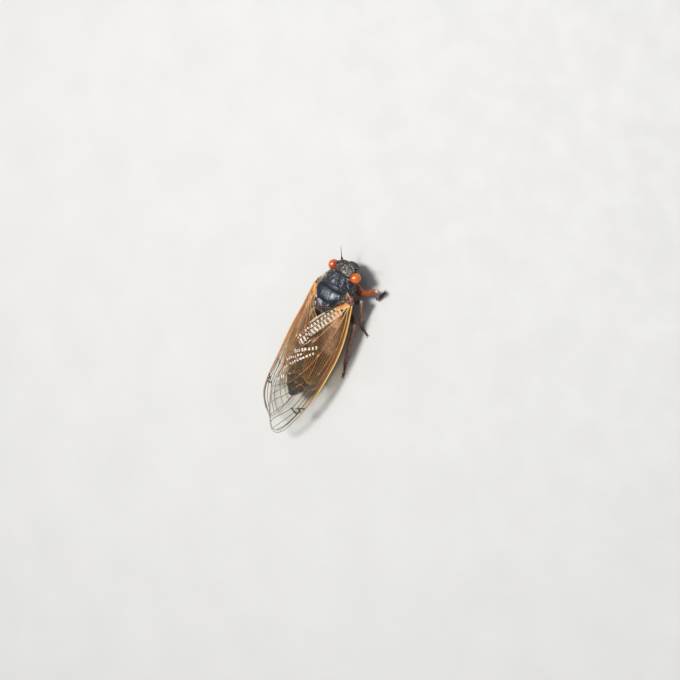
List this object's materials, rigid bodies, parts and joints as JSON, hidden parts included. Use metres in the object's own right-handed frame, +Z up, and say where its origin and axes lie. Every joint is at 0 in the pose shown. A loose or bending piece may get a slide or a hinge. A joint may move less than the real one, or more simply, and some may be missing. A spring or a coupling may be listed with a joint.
{
  "type": "periodical cicada",
  "caption": "Life-size still model of a periodical cicada at rest, with red eyes, a black body and clear veined wings folded roof-like over its back.",
  "frame": {"origin": "centre of the bounding box at floor level, under the middle of the insect", "axes": "+Z up from the floor, +Y towards the wing tips, with the head at -Y and the insect's left side at +X"},
  "size_m": [0.0162, 0.0402, 0.009],
  "materials": {
    "black_shell": "glossy black insect shell with a grey-blue sheen",
    "orange_eye": "glossy faceted orange-red compound eye",
    "brown_shell": "orange-brown insect shell, satin",
    "dark_shell": "brown-black insect shell, satin",
    "pale_joint": "pale soft skin at the leg joints and wing roots",
    "wing_membrane": "clear, faintly amber wing membrane, glossy",
    "wing_vein": "orange wing veins, black towards the wing tips",
    "grey_hair": "short silver-grey hair"
  },
  "bodies": {
    "root": {"head": "black_shell", "postclypeus": "black_shell", "rostrum": "dark_shell", "eye_left": "orange_eye", "eye_right": "orange_eye", "antenna_left": "dark_shell", "antenna_right": "dark_shell", "pronotum": "black_shell", "mesonotum": "black_shell", "thorax": "black_shell", "abdomen": "black_shell", "forewing_left": "wing_membrane", "forewing_right": "wing_membrane", "hindwing_left": "wing_membrane", "hindwing_right": "wing_membrane", "coxa_fore_left": "brown_shell", "coxa_fore_right": "brown_shell", "coxa_mid_left": "brown_shell", "coxa_mid_right": "brown_shell", "coxa_hind_left": "brown_shell", "coxa_hind_right": "brown_shell", "femur_fore_left": "brown_shell", "femur_fore_right": "brown_shell", "femur_mid_left": "brown_shell", "femur_mid_right": "brown_shell", "femur_hind_left": "brown_shell", "femur_hind_right": "brown_shell", "tibia_fore_left": "dark_shell", "tibia_fore_right": "dark_shell", "tibia_mid_left": "brown_shell", "tibia_mid_right": "brown_shell", "tibia_hind_left": "brown_shell", "tibia_hind_right": "brown_shell", "tarsus_fore_left": "dark_shell", "tarsus_fore_right": "dark_shell", "tarsus_mid_left": "dark_shell", "tarsus_mid_right": "dark_shell", "tarsus_hind_left": "dark_shell", "tarsus_hind_right": "dark_shell"}
  },
  "joints": []
}
